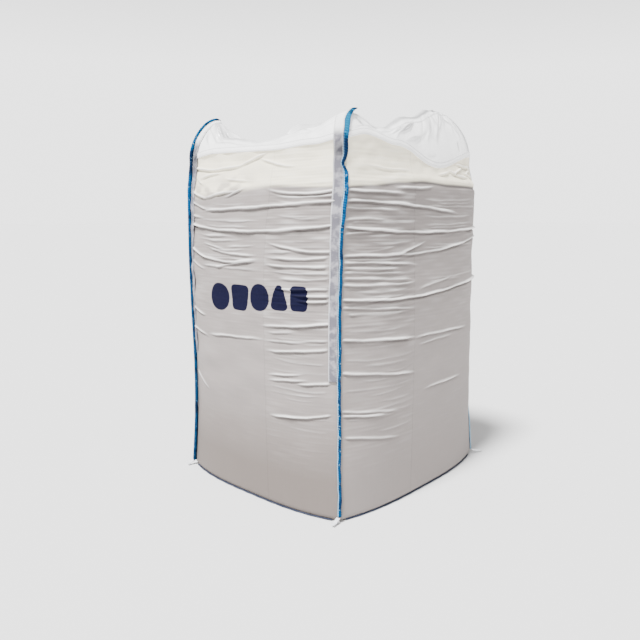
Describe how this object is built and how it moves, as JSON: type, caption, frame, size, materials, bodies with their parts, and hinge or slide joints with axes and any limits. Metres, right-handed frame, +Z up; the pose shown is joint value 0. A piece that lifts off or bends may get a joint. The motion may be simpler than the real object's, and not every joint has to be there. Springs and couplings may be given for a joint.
{
  "type": "bulk bag of sugar",
  "caption": "Square woven bulk bag full of sugar on a flat base, with corner seams, lifting webbing, a slack collar and a sagging film top with raised ears.",
  "frame": {"origin": "middle of the flat bottom, on the floor", "axes": "+Z up the bag; the printed front panel faces -Y"},
  "size_m": [1.0831, 1.0979, 1.6561],
  "materials": {
    "woven_cloth": "off-white woven plastic tape, satin",
    "film": "thin white film, soft shine",
    "blue_seam": "blue overlocked edging",
    "webbing": "pale grey woven webbing",
    "navy_hem": "dark blue cord edging",
    "white_tab": "white woven tab"
  },
  "bodies": {
    "root": {"filled_sack": "woven_cloth", "film_top": "film", "corner_seam_1": "blue_seam", "corner_seam_2": "blue_seam", "corner_seam_3": "blue_seam", "corner_seam_4": "blue_seam", "lifting_strap_1": "webbing", "lifting_strap_2": "webbing", "lifting_strap_3": "webbing", "lifting_strap_4": "webbing", "floor_hem_1": "navy_hem", "floor_hem_2": "navy_hem", "floor_hem_3": "navy_hem", "floor_hem_4": "navy_hem", "corner_tab_1": "white_tab", "corner_tab_2": "white_tab", "corner_tab_3": "white_tab", "corner_tab_4": "white_tab"}
  },
  "joints": []
}
